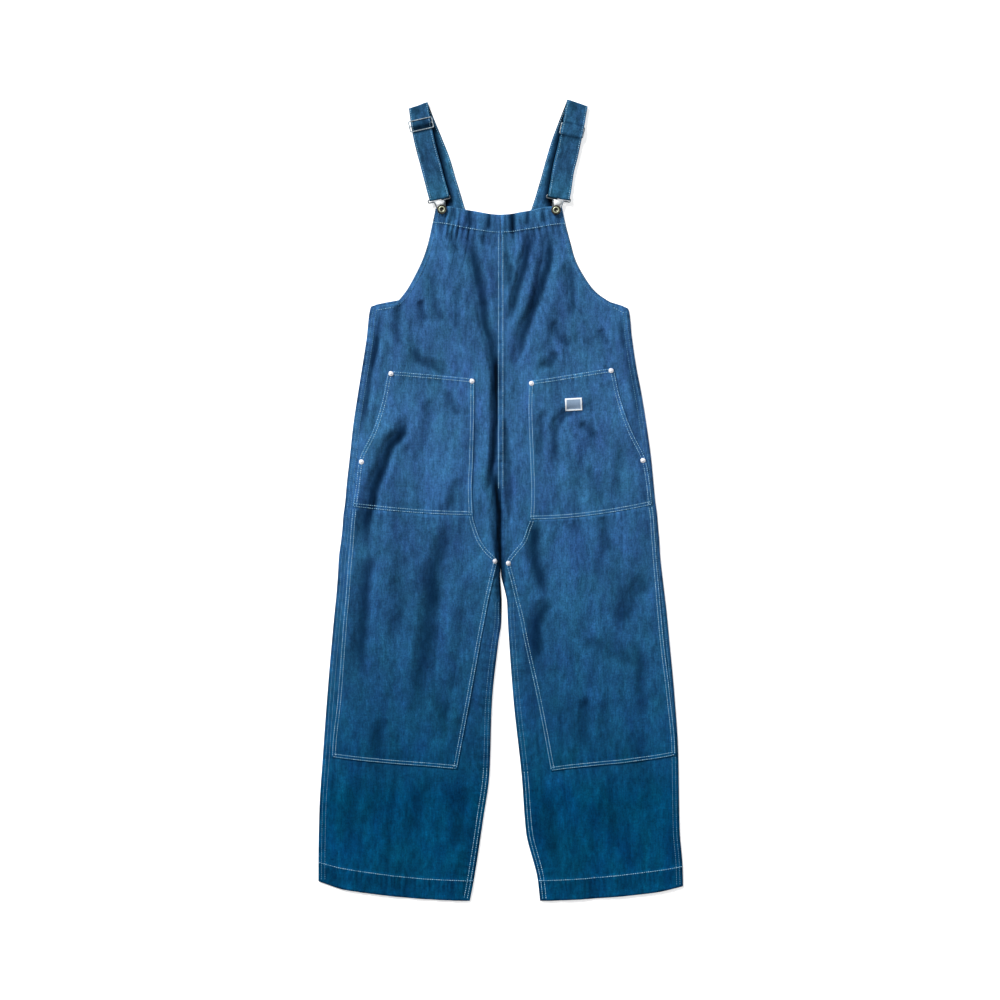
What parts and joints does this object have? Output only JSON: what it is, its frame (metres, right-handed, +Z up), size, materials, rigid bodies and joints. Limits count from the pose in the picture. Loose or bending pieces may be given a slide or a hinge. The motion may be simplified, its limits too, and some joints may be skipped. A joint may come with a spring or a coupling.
{
  "type": "denim dungarees laid flat",
  "caption": "Wide-leg blue denim dungarees laid flat, with front pockets, knee patches and clipped adjustable straps.",
  "frame": {"origin": "on the surface it lies on, under the middle of its outline", "axes": "+X towards the wearer's left side, +Y from the hems to the straps, +Z up off the surface, out of the front"},
  "size_m": [0.638, 1.4019, 0.0116],
  "materials": {
    "denim": "washed mid-blue twill with pale stitching",
    "strap_denim": "washed mid-blue twill, doubled",
    "steel_wire": "nickel plated",
    "bronze": "aged bronze",
    "rivet_metal": "pale polished metal",
    "label_cloth": "white woven tape"
  },
  "bodies": {
    "root": {"front_panel_right": "denim", "back_panel_right": "denim", "pocket_right": "denim", "knee_patch_right": "denim", "strap_right": "strap_denim", "slider_right": "steel_wire", "clip_right": "steel_wire", "button_right": "bronze", "rivet_pocket_inner_right": "rivet_metal", "rivet_pocket_outer_right": "rivet_metal", "rivet_pocket_low_right": "rivet_metal", "rivet_crotch_right": "rivet_metal", "front_panel_left": "denim", "back_panel_left": "denim", "pocket_left": "denim", "knee_patch_left": "denim", "strap_left": "strap_denim", "slider_left": "steel_wire", "clip_left": "steel_wire", "button_left": "bronze", "rivet_pocket_inner_left": "rivet_metal", "rivet_pocket_outer_left": "rivet_metal", "rivet_pocket_low_left": "rivet_metal", "rivet_crotch_left": "rivet_metal", "label": "label_cloth"}
  },
  "joints": []
}
